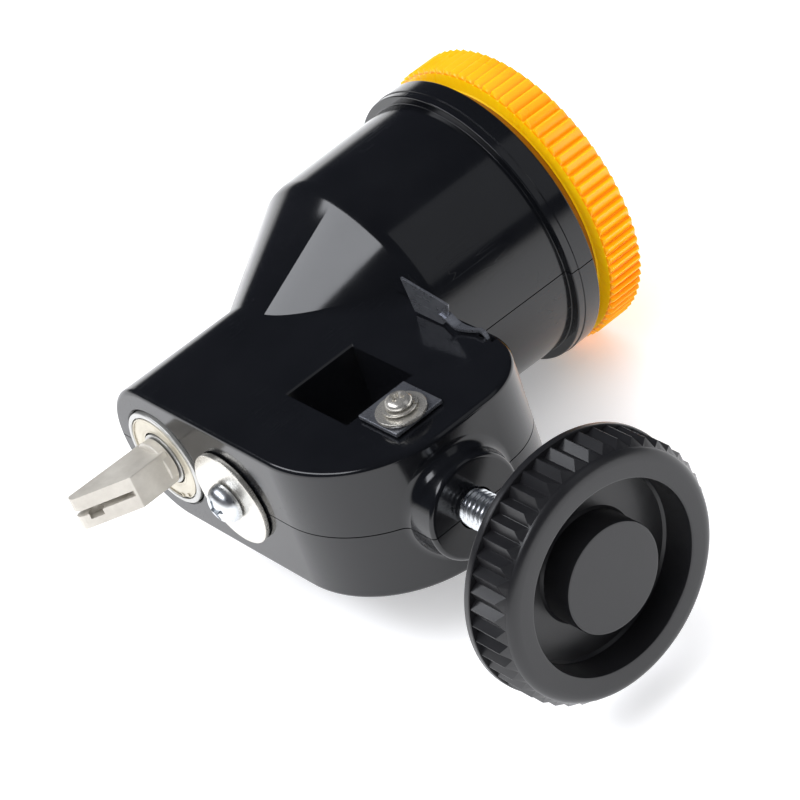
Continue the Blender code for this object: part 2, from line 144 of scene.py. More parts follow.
def lathe(name, profile, segs, axis='Y', at=(0, 0, 0), closed=False, radius=None):
    """Surface of revolution from (radius, height) points; radius(i, angle, r) may modulate it."""
    bm = bmesh.new()
    rows = []
    for i, (r, h) in enumerate(profile):
        if r < 1e-6:
            rows.append([bm.verts.new((0, 0, h * MM))])
            continue
        row = []
        for k in range(segs):
            a = 2 * math.pi * k / segs
            rr = radius(i, a, r) if radius else r
            row.append(bm.verts.new((rr * MM * math.cos(a), rr * MM * math.sin(a), h * MM)))
        rows.append(row)
    n = len(rows)
    for i in range(n if closed else n - 1):
        a, b = rows[i], rows[(i + 1) % n]
        for k in range(segs):
            k2 = (k + 1) % segs
            if len(a) == 1 and len(b) == 1:
                continue
            if len(a) == 1:
                bm.faces.new((a[0], b[k], b[k2]))
            elif len(b) == 1:
                bm.faces.new((a[k], b[0], a[k2]))
            else:
                bm.faces.new((a[k], b[k], b[k2], a[k2]))
    return from_bm(name, bm, Matrix.Translation(Vector(at) * MM) @ AXIS[axis])


def rod(name, r, h0, h1, segs, axis='Y', at=(0, 0, 0)):
    return lathe(name, [(0, h1), (r, h1), (r, h0), (0, h0)], segs, axis, at)


def ring(name, r0, r1, h0, h1, segs, axis='Y', at=(0, 0, 0), edge=0.12, n=3):
    prof = softened([(r1, h1), (r1, h0), (r0, h0), (r0, h1)], edge, n, closed=True)
    return lathe(name, prof, segs, axis, at, closed=True)


def box(name, x0, x1, y0, y1, z0, z1, matrix=None, edge=0.0, n=3):
    bm = bmesh.new()
    bmesh.ops.create_cube(bm, size=1.0)
    for v in bm.verts:
        v.co = Vector(((x0 + x1) / 2 + v.co.x * (x1 - x0), (y0 + y1) / 2 + v.co.y * (y1 - y0),
                       (z0 + z1) / 2 + v.co.z * (z1 - z0))) * MM
    if edge:
        bmesh.ops.bevel(bm, geom=list(bm.edges), offset=edge * MM, segments=n, affect='EDGES', profile=0.5)
    return from_bm(name, bm, matrix)


def slab(name, pts, h0, h1, matrix=None, edge=0.0, n=3):
    """Flat outline extruded along local z from h0 to h1, rim edges rounded."""
    bm = bmesh.new()
    lo = [bm.verts.new((x * MM, y * MM, h0 * MM)) for x, y in pts]
    hi = [bm.verts.new((x * MM, y * MM, h1 * MM)) for x, y in pts]
    bm.faces.new(lo[::-1])
    bm.faces.new(hi)
    m = len(pts)
    rim = []
    for i in range(m):
        j = (i + 1) % m
        bm.faces.new((lo[i], lo[j], hi[j], hi[i]))
    if edge:
        bm.edges.ensure_lookup_table()
        rim = [e for e in bm.edges if abs(e.verts[0].co.z - e.verts[1].co.z) < 1e-9]
        bmesh.ops.bevel(bm, geom=rim, offset=edge * MM, segments=n, affect='EDGES', profile=0.5,
                        clamp_overlap=True)
    return from_bm(name, bm, matrix)


def boolean(ob, tool, op='DIFFERENCE'):
    mod = ob.modifiers.new(op.title(), 'BOOLEAN')
    mod.operation = op
    mod.object = tool
    mod.solver = 'EXACT'
    dg = bpy.context.evaluated_depsgraph_get()
    me = bpy.data.meshes.new_from_object(ob.evaluated_get(dg))
    ob.modifiers.clear()
    ob.data = me
    bpy.data.objects.remove(tool, do_unlink=True)
    return ob


def cut(ob, *tools):
    for t in tools:
        boolean(ob, t, 'DIFFERENCE')
    return ob


def join(ob, *tools):
    for t in tools:
        boolean(ob, t, 'UNION')
    return ob


def copy_of(ob, name):
    new = add(name, ob.data.copy())
    return new


def merge(name, *obs):
    """Several closed shells in one object."""
    bm = bmesh.new()
    for o in obs:
        bm.from_mesh(o.data)
        bpy.data.objects.remove(o, do_unlink=True)
    me = bpy.data.meshes.new(name)
    bm.to_mesh(me)
    bm.free()
    return add(name, me)


def hexagon(across_flats, phase=0.0):
    r = across_flats / math.sqrt(3)
    return [(r * math.cos(math.radians(60 * i + phase)), r * math.sin(math.radians(60 * i + phase)))
            for i in range(6)]


MADE = []


def done(ob, name, body, nodes, material, angle=32, weighted=True):
    """Final mesh in the row frame, smooth by angle, riding on its body."""
    bm = bmesh.new()
    bm.from_mesh(ob.data)
    bmesh.ops.remove_doubles(bm, verts=bm.verts, dist=2e-6)
    bmesh.ops.dissolve_degenerate(bm, edges=bm.edges, dist=2e-6)
    bm.to_mesh(ob.data)
    bm.free()
    ob.data.transform(TO_ROW)
    ob.name = name
    ob.data.name = name
    ob.data.materials.clear()
    ob.data.materials.append(material)
    ob.data.shade_smooth()
    ob.data.set_sharp_from_angle(angle=math.radians(angle))
    if weighted:
        mod = ob.modifiers.new("Weighted", 'WEIGHTED_NORMAL')
        mod.keep_sharp = True
        mod.weight = 100
    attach(ob, body)
    if nodes:
        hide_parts(*nodes)
    MADE.append(ob)
    return ob


# ==========================================================================
# Materials, all procedural in object coordinates
# ==========================================================================
class Mat:
    def __init__(self, name):
        self.m = bpy.data.materials.new(name)
        self.m.use_nodes = True
        self.t = self.m.node_tree
        self.b = self.t.nodes["Principled BSDF"]
        self.coord = self.t.nodes.new("ShaderNodeTexCoord")
        self.bump_out = None

    def node(self, kind, **inputs):
        n = self.t.nodes.new(kind)
        for k, v in inputs.items():
            key = k.replace("_", " ")
            if key in n.inputs:
                n.inputs[key].default_value = v
        return n

    def link(self, a, b):
        self.t.links.new(a, b)

    def noise(self, scale, detail=4.0, rough=0.55, stretch=None):
        n = self.node("ShaderNodeTexNoise", Scale=scale, Detail=detail, Roughness=rough)
        if stretch:
            mp = self.node("ShaderNodeMapping")
            mp.inputs["Scale"].default_value = stretch
            self.link(self.coord.outputs["Object"], mp.inputs["Vector"])
            self.link(mp.outputs["Vector"], n.inputs["Vector"])
        else:
            self.link(self.coord.outputs["Object"], n.inputs["Vector"])
        return n.outputs["Fac"]

    def ramp(self, src, stops, mode='LINEAR'):
        r = self.node("ShaderNodeValToRGB")
        r.color_ramp.interpolation = mode
        el = r.color_ramp.elements
        while len(el) > 1:
            el.remove(el[-1])
        el[0].position = stops[0][0]
        el[0].color = stops[0][1]
        for p, c in stops[1:]:
            e = el.new(p)
            e.color = c
        self.link(src, r.inputs["Fac"])
        return r.outputs["Color"]

    def grey(self, src, stops, mode='LINEAR'):
        return self.ramp(src, [(p, (v, v, v, 1)) for p, v in stops], mode)

    def mix(self, fac, a, b):
        n = self.node("ShaderNodeMix")
        n.data_type = 'RGBA'
        for val, key in ((a, 6), (b, 7)):
            if isinstance(val, tuple):
                n.inputs[key].default_value = val
            else:
                self.link(val, n.inputs[key])
        if isinstance(fac, float):
            n.inputs[0].default_value = fac
        else:
            self.link(fac, n.inputs[0])
        return n.outputs[2]

    def math(self, op, a, b=None, clamp=False):
        n = self.node("ShaderNodeMath")
        n.operation = op
        n.use_clamp = clamp
        for i, v in enumerate((a, b)):
            if v is None:
                continue
            if isinstance(v, (int, float)):
                n.inputs[i].default_value = v
            else:
                self.link(v, n.inputs[i])
        return n.outputs[0]

    def bump(self, height, strength, distance):
        n = self.node("ShaderNodeBump", Strength=strength, Distance=distance)
        self.link(height, n.inputs["Height"])
        if self.bump_out is not None:
            self.link(self.bump_out, n.inputs["Normal"])
        self.bump_out = n.outputs["Normal"]
        self.link(self.bump_out, self.b.inputs["Normal"])

    def set(self, **kw):
        for k, v in kw.items():
            key = k.replace("_", " ")
            sock = self.b.inputs[key]
            if isinstance(v, bpy.types.NodeSocket):
                self.link(v, sock)
            else:
                sock.default_value = v
        return self

    def scratches(self, scale, width, seed, angle):
        """Sparse thin straight scratches: stretched noise passed through a narrow ramp."""
        mp = self.node("ShaderNodeMapping")
        mp.inputs["Rotation"].default_value = (0.3 * seed, 0.5, angle)
        mp.inputs["Location"].default_value = (seed * 0.37, seed * 0.11, 0)
        mp.inputs["Scale"].default_value = (scale, scale * 0.04, scale * 0.3)
        self.link(self.coord.outputs["Object"], mp.inputs["Vector"])
        n = self.node("ShaderNodeTexNoise", Scale=1.0, Detail=1.0, Roughness=0.4)
        self.link(mp.outputs["Vector"], n.inputs["Vector"])
        return self.grey(n.outputs["Fac"], [(0.5 - width, 0.0), (0.5, 1.0), (0.5 + width, 0.0)])


def gloss_black(name="housing_gloss_black"):
    m = Mat(name)
    cloud = m.noise(70.0, 5.0, 0.6)
    col = m.ramp(cloud, [(0.3, (0.0036, 0.0039, 0.0050, 1)), (0.7, (0.0052, 0.0056, 0.0070, 1))])
    dust = m.noise(5200.0, 2.0, 0.5)
    specks = m.grey(dust, [(0.73, 0.0), (0.78, 1.0)])
    where = m.grey(m.noise(60.0, 2.0), [(0.5, 0.0), (0.62, 0.55)])
    amount = m.math('MULTIPLY', specks, where)
    col = m.mix(amount, col, (0.09, 0.09, 0.095, 1))
    s1 = m.scratches(900.0, 0.006, 1, 0.6)
    s2 = m.scratches(760.0, 0.005, 2, 2.1)
    patch = m.grey(m.noise(42.0, 2.0), [(0.5, 0.0), (0.66, 1.0)])
    scr = m.math('MULTIPLY', m.math('MAXIMUM', s1, s2), patch)
    rough = m.grey(cloud, [(0.25, 0.10), (0.75, 0.165)])
    rough = m.math('ADD', rough, m.math('MULTIPLY', scr, 0.22), clamp=True)
    wave = m.noise(26.0, 2.0, 0.4)
    m.bump(wave, 0.16, 0.0010)
    fine = m.noise(2400.0, 3.0, 0.5)
    m.bump(fine, 0.030, 0.00005)
    m.bump(scr, 0.10, 0.00003)
    m.set(Base_Color=col, Roughness=rough)
    m.b.inputs["IOR"].default_value = 1.5
    return m.m


def satin_black(name="knob_satin_black"):
    m = Mat(name)
    cloud = m.noise(110.0, 5.0, 0.6)
    col = m.ramp(cloud, [(0.3, (0.0075, 0.0075, 0.0085, 1)), (0.7, (0.0110, 0.0110, 0.0125, 1))])
    rough = m.grey(cloud, [(0.25, 0.27), (0.75, 0.37)])
    grain = m.noise(1900.0, 4.0, 0.6)
    m.bump(grain, 0.10, 0.00008)
    m.bump(m.noise(40.0, 2.0), 0.12, 0.0008)
    scr = m.math('MULTIPLY', m.scratches(700.0, 0.006, 3, 1.2), m.grey(m.noise(55.0), [(0.5, 0.0), (0.7, 1.0)]))
    m.bump(scr, 0.12, 0.00004)
    m.set(Base_Color=col, Roughness=rough)
    return m.m


def amber(name="disc_amber"):
    """Translucent amber, lighter and more yellow in the body, deeper orange out in the teeth, with painted shade on
    the neck and at the tooth roots and a painted glow.
    """
    m = Mat(name)
    sep = m.node("ShaderNodeSeparateXYZ")
    m.link(m.coord.outputs["Object"], sep.inputs[0])
    x = m.math('SUBTRACT', sep.outputs[0], ORG.x)
    z = m.math('SUBTRACT', sep.outputs[2], ORG.z)
    r = m.math('POWER', m.math('ADD', m.math('MULTIPLY', x, x), m.math('MULTIPLY', z, z)), 0.5)
    u = m.math('MULTIPLY', m.math('SUBTRACT', r, 0.0322), 1 / 0.0018, clamp=True)
    cloud = m.noise(55.0, 3.0, 0.5)
    body = m.ramp(cloud, [(0.3, (0.94, 0.520, 0.003, 1)), (0.7, (0.96, 0.590, 0.004, 1))])
    tooth = m.ramp(cloud, [(0.3, (0.93, 0.370, 0.002, 1)), (0.7, (0.95, 0.440, 0.003, 1))])
    # painted shade: the darker orange just outside the root radius stands in for shade in the notches between the
    # teeth
    root = (0.86, 0.240, 0.001, 1)
    t = m.grey(u, [(0.0, 0.0), (0.36, 0.0), (0.42, 1.0)])
    low = m.grey(u, [(0.36, 1.0), (0.72, 0.0)])
    col = m.mix(t, body, m.mix(low, tooth, root))
    # painted shade: behind y = 94.5 mm the neck is tinted dark brown, standing in for the shadow in the gap between
    # the flange and the disc
    y = m.math('SUBTRACT', sep.outputs[1], ORG.y)
    col = m.mix(m.math('LESS_THAN', y, 0.0945), col, (0.30, 0.105, 0.003, 1))
    m.bump(m.noise(900.0, 3.0), 0.06, 0.00008)
    m.bump(m.noise(60.0, 2.0), 0.10, 0.0006)
    rough = m.grey(cloud, [(0.3, 0.24), (0.7, 0.34)])
    m.set(Base_Color=col, Roughness=rough)
    m.b.inputs["Subsurface Weight"].default_value = 0.45
    m.b.inputs["Subsurface Radius"].default_value = (1.0, 0.62, 0.03)
    m.b.inputs["Subsurface Scale"].default_value = 0.0025
    # painted glow: the amber emits light in its own colour, standing in for light passing through the disc
    m.set(Emission_Color=col)
    m.b.inputs["Emission Strength"].default_value = 0.16
    m.b.inputs["IOR"].default_value = 1.49
    return m.m


def metal(name, dark, light, rough0, rough1, scale=180.0, grain=(1, 1, 1), bump=0.05, metallic=1.0):
    m = Mat(name)
    cloud = m.noise(scale, 5.0, 0.6)
    col = m.ramp(cloud, [(0.3, dark), (0.7, light)])
    fine = m.noise(1500.0, 4.0, 0.6, stretch=grain)
    rough = m.math('ADD', m.grey(cloud, [(0.25, rough0), (0.75, rough1)]),
                   m.math('MULTIPLY', m.math('SUBTRACT', fine, 0.5), 0.12), clamp=True)
    m.bump(fine, bump, 0.00006)
    m.bump(m.noise(70.0, 2.0), 0.08, 0.0005)
    m.set(Base_Color=col, Roughness=rough)
    m.b.inputs["Metallic"].default_value = metallic
    return m.m


def corundum(name="wheel_corundum"):
    m = Mat(name)
    v = m.node("ShaderNodeTexVoronoi", Scale=3800.0)
    m.link(m.coord.outputs["Object"], v.inputs["Vector"])
    col = m.ramp(v.outputs["Distance"], [(0.0, (0.66, 0.40, 0.34, 1)), (0.5, (0.42, 0.22, 0.18, 1)),
                                         (1.0, (0.22, 0.11, 0.09, 1))])
    m.bump(v.outputs["Distance"], 0.8, 0.0002)
    rough = m.grey(m.noise(900.0), [(0.3, 0.85), (0.7, 1.0)])
    m.set(Base_Color=col, Roughness=rough)
    return m.m


def nylon(name="pad_nylon"):
    m = Mat(name)
    c = m.noise(260.0, 4.0)
    col = m.ramp(c, [(0.3, (0.74, 0.72, 0.66, 1)), (0.7, (0.84, 0.82, 0.76, 1))])
    m.bump(m.noise(2200.0), 0.08, 0.00005)
    m.set(Base_Color=col, Roughness=m.grey(c, [(0.3, 0.42), (0.7, 0.55)]))
    m.b.inputs["Subsurface Weight"].default_value = 0.15
    m.b.inputs["Subsurface Scale"].default_value = 0.001
    return m.m


M_HOUSE = gloss_black()
M_KNOB = satin_black()
M_AMBER = amber()
M_NICKEL = metal("nickel_steel", (0.50, 0.47, 0.42, 1), (0.66, 0.63, 0.57, 1), 0.34, 0.46, grain=(1, 0.06, 1), metallic=0.45)
M_BRG = metal("bearing_steel", (0.44, 0.44, 0.43, 1), (0.58, 0.58, 0.56, 1), 0.28, 0.40, metallic=0.75)
M_SHIELD = metal("shield_steel", (0.52, 0.48, 0.39, 1), (0.66, 0.62, 0.52, 1), 0.30, 0.42, metallic=0.7)
M_ZINC = metal("zinc_steel", (0.60, 0.63, 0.66, 1), (0.76, 0.78, 0.80, 1), 0.22, 0.34)
M_POLISH = metal("polished_steel", (0.62, 0.60, 0.55, 1), (0.76, 0.73, 0.67, 1), 0.22, 0.32, metallic=0.84)
M_SPRING = metal("spring_steel", (0.22, 0.23, 0.26, 1), (0.34, 0.35, 0.38, 1), 0.22, 0.34, grain=(0.06, 1, 1), metallic=0.86)
M_WHEEL = corundum()
M_NYLON = nylon()

# ==========================================================================
# Housing
# ==========================================================================
HALF_T, FRONT_Y, BLOCK_X, BLOCK_Y = 16.0, 0.6, 66.8, 51.4
FRONT_R, REAR_R = 25.4, 14.5
EDGE = 1.15
CONE_Y0, CONE_R0, CONE_Y1, CONE_R1, BARREL_R = 31.2, 16.0, 54.5, 30.2, 31.1
FLANGE_Y0, FLANGE_Y1, FLANGE_R = 85.4, 91.6, 33.3
CHAMBER_R, SPLIT = 27.2, 0.12
BOSS_R, BOSS_X, CLAMP_Y = 11.0, 71.2, 24.0
SOCKET = (28.3, 47.2, 17.0, 34.2)
BRG_R = 11.0


def block_and_nose():
    """Half-round nose on the left, flat block on the right, one rounded edge all round."""
    plan = [(0.0, FRONT_Y, 0.0, -1.0)]
    plan += [(8.0 * i, FRONT_Y, 0.0, -1.0) for i in range(1, 5)]
    for i in range(41):
        a = math.radians(-90 + 90 * i / 40)
        plan.append((BLOCK_X - FRONT_R + FRONT_R * math.cos(a), FRONT_Y + FRONT_R + FRONT_R * math.sin(a),
                     math.cos(a), math.sin(a)))
    for i in range(33):
        a = math.radians(90 * i / 32)
        plan.append((BLOCK_X - REAR_R + REAR_R * math.cos(a), BLOCK_Y - REAR_R + REAR_R * math.sin(a),
                     math.cos(a), math.sin(a)))
    plan += [(8.0 * i, BLOCK_Y, 0.0, 1.0) for i in range(5, -1, -1)]
    n = 6
    th = [math.radians(90 * i / n) for i in range(n + 1)]
    bm = bmesh.new()

    def vert(x, y, z):
        return bm.verts.new((x * MM, y * MM, z * MM))
    cols = []
    for x, y, nx, ny in plan:
        col = [vert(x + nx * EDGE * (math.sin(t) - 1), y + ny * EDGE * (math.sin(t) - 1),
                    HALF_T - EDGE + EDGE * math.cos(t)) for t in th]
        col += [vert(x + nx * EDGE * (math.sin(t) - 1), y + ny * EDGE * (math.sin(t) - 1),
                     -(HALF_T - EDGE) - EDGE * math.cos(t)) for t in reversed(th)]
        cols.append(col)
    for a, b in zip(cols, cols[1:]):
        for k in range(len(a) - 1):
            bm.faces.new((a[k], a[k + 1], b[k + 1], b[k]))
    # half-round left side: rotate the first and last columns' profile about the shaft axis
    prof = [(HALF_T - EDGE + EDGE * math.cos(t), FRONT_Y + EDGE * (1 - math.sin(t))) for t in reversed(th)]
    prof += [(HALF_T - EDGE + EDGE * math.cos(t), BLOCK_Y - EDGE * (1 - math.sin(t))) for t in th]
    first, last = cols[0], cols[-1]
    top0 = list(reversed(first[:n + 1])) + last[:n + 1]
    bot0 = first[n + 1:] + list(reversed(last[n + 1:]))
    segs = 72
    rows = [top0]
    for k in range(1, segs):
        p = math.pi * k / segs
        rows.append([vert(-r * math.sin(p), y, r * math.cos(p)) for r, y in prof])
    rows.append(bot0)
    for a, b in zip(rows, rows[1:]):
        for k in range(len(prof) - 1):
            bm.faces.new((a[k], a[k + 1], b[k + 1], b[k]))
    # top and bottom faces, and the two half-disc ends
    bm.faces.new([c[0] for c in cols])
    bm.faces.new([c[-1] for c in cols][::-1])
    bm.faces.new([r[0] for r in rows])
    bm.faces.new([r[-1] for r in rows][::-1])
    return from_bm("block", bm)


def barrel_solid():
    pts = [(0, 91.6), (FLANGE_R, 91.6), (FLANGE_R, 87.3), (33.1, 87.2),
           (33.1, 85.4), (BARREL_R, 85.4), (30.45, 55.2), (CONE_R1, CONE_Y1), (15.39, 30.2), (0, 30.2)]
    pts = [p for p in pts if p != (CONE_R1, CONE_Y1)]
    rad = [0, 0.45, 0.06, 0.06, 0.35, 0.25, 6.0, 0, 0]
    return lathe("barrel", softened(pts, rad, 6), 256)


def boss_solid():
    """Boss with a rolling-ball fillet onto the curved end wall."""
    rf = 2.6
    segs, n = 128, 8
    bm = bmesh.new()
    rc = BOSS_R + rf
    top = [(BOSS_X, 0.0)] + [(BOSS_X - 1.0 + math.sin(t) * 1.0, BOSS_R - 1.0 + math.cos(t) * 1.0)
                             for t in [math.radians(90 - 15 * i) for i in range(7)]]
    grid = []
    for k in range(segs):
        a = 2 * math.pi * k / segs
        ca, sa = math.cos(a), math.sin(a)
        yc, zc = CLAMP_Y + rc * ca, rc * sa
        if yc < FRONT_Y + FRONT_R:
            cx, cy, R = BLOCK_X - FRONT_R, FRONT_Y + FRONT_R, FRONT_R
        elif yc > BLOCK_Y - REAR_R:
            cx, cy, R = BLOCK_X - REAR_R, BLOCK_Y - REAR_R, REAR_R
        else:
            cx = None
        if cx is None:
            xc = BLOCK_X + rf
            wall = Vector((-1.0, 0.0, 0.0))
        else:
            xc = cx + math.sqrt((R + rf) ** 2 - (yc - cy) ** 2)
            wall = Vector((cx - xc, cy - yc, 0.0)).normalized()
        toward = Vector((0.0, -ca, -sa))
        tot = toward.angle(wall)
        cen = Vector((xc, yc, zc))
        col = []
        for x, r in top[1:]:
            col.append(Vector((x, CLAMP_Y + r * ca, r * sa)))
        for i in range(n + 1):
            f = i / n
            w = (toward * math.sin((1 - f) * tot) + wall * math.sin(f * tot)) / math.sin(tot)
            p = cen + w * rf
            if i == n:
                p = cen + w * (rf + 0.02)
            col.append(p)
        last = col[-1]
        col.append(last + Vector((-2.0, -0.35 * ca, -0.35 * sa)))
        grid.append([bm.verts.new(p * MM) for p in col])
    for k in range(segs):
        a, b = grid[k], grid[(k + 1) % segs]
        for i in range(len(a) - 1):
            bm.faces.new((a[i], a[i + 1], b[i + 1], b[i]))
    bm.faces.new([g[0] for g in grid])
    bm.faces.new([g[-1] for g in grid][::-1])
    return from_bm("boss", bm)


body = block_and_nose()
body = join(body, barrel_solid(), boss_solid())
bore_profile = [(0, 94.6), (CHAMBER_R, 94.6), (CHAMBER_R, 89.4), (CHAMBER_R + 0.9, 89.0), (CHAMBER_R + 0.9, 87.2),
                (CHAMBER_R, 86.8), (CHAMBER_R, 55.3), (12.6, 31.6), (9.6, 31.6), (9.6, 29.3), (11.3, 29.3),
                (11.3, 21.7), (9.6, 21.7), (9.6, 7.3), (11.25, 7.3), (11.25, 1.0), (11.75, 0.5), (11.75, -3), (0, -3)]
body = cut(body, lathe("bore", bore_profile, 128),
           box("socket", SOCKET[0], SOCKET[1], SOCKET[2], SOCKET[3], -20, 20))
for z in (1, -1):
    # small rounding on the window's mouth
    x0, x1, y0, y1 = SOCKET
    bm = bmesh.new()
    e = 0.35
    quad = [[(x0, y0), (x1, y0), (x1, y1), (x0, y1)], [(x0 - e, y0 - e), (x1 + e, y0 - e), (x1 + e, y1 + e), (x0 - e, y1 + e)]]
    lo = [bm.verts.new((x * MM, y * MM, z * (HALF_T - e) * MM)) for x, y in quad[0]]
    hi = [bm.verts.new((x * MM, y * MM, z * (HALF_T + 0.0003) * MM)) for x, y in quad[1]]
    up = [bm.verts.new((x * MM, y * MM, z * (HALF_T + 1) * MM)) for x, y in quad[1]]
    for a, b in ((lo, hi), (hi, up)):
        for i in range(4):
            j = (i + 1) % 4
            bm.faces.new((a[i], a[j], b[j], b[i]))
    bm.faces.new(lo[::-1])
    bm.faces.new(up)
    body = cut(body, from_bm("mouth", bm))
body = cut(body, rod("bolt_way", 4.3, 44, 80, 48, 'X', (0, CLAMP_Y, 0)),
           slab("nut_way", hexagon(13.6), 56.7, 63.8, shift(0, CLAMP_Y, 0) @ X_UP),
           rod("front_hole", 2.3, -2, 13.5, 32, 'Y', (23.6, 0, 0)),
           rod("plate_hole", 1.8, 9.7, 20, 32, 'Z', (56.0, 24.3, 0)),
           box("blade_slot", 50.2, 54.4, 49.2, 50.4, 9.0, 20),
           box("core_a", 14.8, 25.2, 15.0, 30.0, -13, 13),
           box("core_b", 30.5, 49.5, 3.8, 13.6, -13, 13),
           box("core_c", 33.5, 48.5, 37.6, 48.0, -13, 13))
SCREWS = [(17.6, 9.6), (56.6, 11.6), (56.6, 41.4), (28.6, 41.2)]
for sx, sy in SCREWS:
    body = cut(body, lathe("screw_way", [(0, 10.0), (1.8, 10.0), (1.8, -13.0), (3.4, -13.0), (3.4, -15.7),
                                         (3.8, -16.1), (3.8, -18.0), (0, -18.0)], 40, 'Z', (sx, sy, 0)))
upper = copy_of(body, "upper")
lower = body
boolean(upper, box("half", -60, 120, -20, 120, SPLIT, 60), 'INTERSECT')
boolean(lower, box("half", -60, 120, -20, 120, -60, -SPLIT), 'INTERSECT')
done(upper, "housing_shell_upper", "housing", ["upper_housing"], M_HOUSE)
done(lower, "housing_shell_lower", "housing", ["lower_housing"], M_HOUSE)

# ==========================================================================
# Front bearing: rings and dished shield with its snap ring
# ==========================================================================


def bearing(prefix, tag, y0, detail):
    yc, pitch, race = y0 + 3.5, 7.5, 2.18
    out_in, in_out = 9.2, 5.8
    a_o = math.degrees(math.asin((out_in - pitch) / race))
    a_i = math.degrees(math.asin((pitch - in_out) / race))
    y1 = y0 + 7.0
    outer = [(BRG_R, y1), (BRG_R, y0), (9.9, y0), (9.9, y0 + 0.9), (out_in, y0 + 0.9)]
    outer += [(pitch + race * math.sin(math.radians(a)), yc + race * math.cos(math.radians(a)))
              for a in [180 - a_o - (180 - 2 * a_o) * k / 8 for k in range(9)]]
    outer += [(out_in, y1 - 0.9), (9.9, y1 - 0.9), (9.9, y1)]
    rad = [0.35, 0.35, 0.12, 0.05, 0] + [0] * 9 + [0, 0.05, 0.12]
    done(lathe("o", softened(outer, rad, 4, True), detail, closed=True), prefix + "_outer", "housing",
         [tag + "_outer_ring"], M_BRG)
    inner = [(in_out, y1)]
    inner += [(pitch - race * math.sin(math.radians(a)), yc + race * math.cos(math.radians(a)))
              for a in [a_i + (180 - 2 * a_i) * k / 8 for k in range(9)]]
    inner += [(in_out, y0), (4.0, y0), (4.0, y1)]
    rad = [0.15] + [0] * 9 + [0.15, 0.3, 0.3]
    done(lathe("i", softened(inner, rad, 4, True), detail, closed=True), prefix + "_inner", "drive",
         [tag + "_inner_ring"], M_BRG)


bearing("front_bearing_fine", "front_bearing", 0.0, 128)
bearing("rear_bearing_fine", "rear_bearing", 22.0, 64)
shield = lathe("sh", softened([(9.6, 0.60), (9.6, 0.22), (8.9, 0.22), (8.6, 0.12), (6.9, 0.12), (6.5, 0.3), (6.1, 0.3),
                               (6.1, 0.60)], 0.08, 3, True), 128, closed=True)
# snap ring in the outer ring's groove, with a gap and turned-in ends
pts = []
for i in range(97):
    a = math.radians(-62 + 344 * i / 96)
    pts.append(Vector((9.5 * math.cos(a), 0.12, 9.5 * math.sin(a))))
pts.insert(0, Vector((8.6 * math.cos(math.radians(-61)), 0.06, 8.6 * math.sin(math.radians(-61)))))
pts.append(Vector((8.6 * math.cos(math.radians(281)), 0.06, 8.6 * math.sin(math.radians(281)))))


def wire(name, path, r, sides=10):
    bm = bmesh.new()
    rows = []
    for i, p in enumerate(path):
        t = (path[min(i + 1, len(path) - 1)] - path[max(i - 1, 0)]).normalized()
        u = t.cross(Vector((0, 1, 0)))
        u = u.normalized() if u.length > 1e-6 else Vector((1, 0, 0))
        w = t.cross(u)
        rows.append([bm.verts.new((p + u * r * math.cos(2 * math.pi * k / sides)
                                   + w * r * math.sin(2 * math.pi * k / sides)) * MM) for k in range(sides)])
    for a, b in zip(rows, rows[1:]):
        for k in range(sides):
            j = (k + 1) % sides
            bm.faces.new((a[k], b[k], b[j], a[j]))
    bm.faces.new(rows[0])
    bm.faces.new(rows[-1][::-1])
    return from_bm(name, bm)


shield = merge("shield", shield, wire("clip", pts, 0.16))
done(shield, "front_bearing_shield_fine", "housing", ["front_bearing_front_shield"], M_SHIELD)

# ==========================================================================
# Drive shaft and tang
# ==========================================================================
SHAFT_R, TANG_W, TANG_H, TANG_Y, TANG_BEND = 3.7, 9.2, 7.4, -20.6, -10.2
hw, hh = TANG_W / 2, TANG_H / 2
shaft = lathe("shaft", softened([(0, 85.6), (SHAFT_R - 0.6, 85.6), (SHAFT_R, 85.0), (SHAFT_R, -0.3), (5.2, -0.3),
                                 (5.2, -2.2), (3.0, -2.6), (0, -2.6)], [0, 0.1, 0.1, 0, 0.15, 0.3, 0, 0], 4), 72)
tang_pts = softened([(hw, -0.9), (-hw, -0.9), (-hw, TANG_Y + 0.6), (-hw + 0.5, TANG_Y), (-hw + 1.9, TANG_Y),
                     (-hw + 2.5, TANG_Y + 0.5), (hw, TANG_BEND)], [0, 0, 0.3, 0.3, 0.3, 0.3, 0.5], 4, True)
tang = slab("tang", tang_pts, -hh, hh, edge=0.32, n=4)
tang = cut(tang, box("slot", -8, 8, -30, TANG_BEND - 0.4, -0.65, 0.65),
           rod("cross_hole", 1.7, -1.9, 0.0, 40, 'Z', (-hw + 3.3, TANG_Y + 3.2, 0)))
tang.data.transform(Matrix.Rotation(-math.radians(9.0), 4, 'Y'))
shaft = join(shaft, tang)
done(shaft, "drive_shaft_fine", "drive", ["drive_shaft"], M_NICKEL, 25)

# ==========================================================================
# Grinding wheel
# ==========================================================================
wheel = lathe("gw", softened([(9.0, 75.2), (24.5, 65.7), (24.5, 59.0), (4.0, 59.0), (4.0, 75.2)],
                             [0.3, 0.5, 0.5, 0.2, 0.2], 4, True), 128, closed=True)
done(wheel, "grinding_wheel_fine", "drive", ["grinding_wheel"], M_WHEEL)

# ==========================================================================
# Selector disc
# ==========================================================================
DISC_R, TEETH, DY0, DY1 = 34.0, 84, 94.8, 103.7
HOLE_PCR = 18.6
HOLES = [3.5 + 0.5 * i for i in range(14)]
TOOTH = [(0.0, 0.96), (0.05, 1.0), (0.12, 0.97), (0.30, 0.76), (0.50, 0.50), (0.68, 0.24), (0.78, 0.05),
         (0.84, 0.0), (0.90, 0.06), (0.965, 0.62)]


def tooth_height(f, table):
    f = f % 1.0
    tt = table + [(1.0, table[0][1])]
    for (a, u), (b, v) in zip(tt, tt[1:]):
        if a <= f <= b:
            return u + (v - u) * (f - a) / (b - a)
    return 0.0


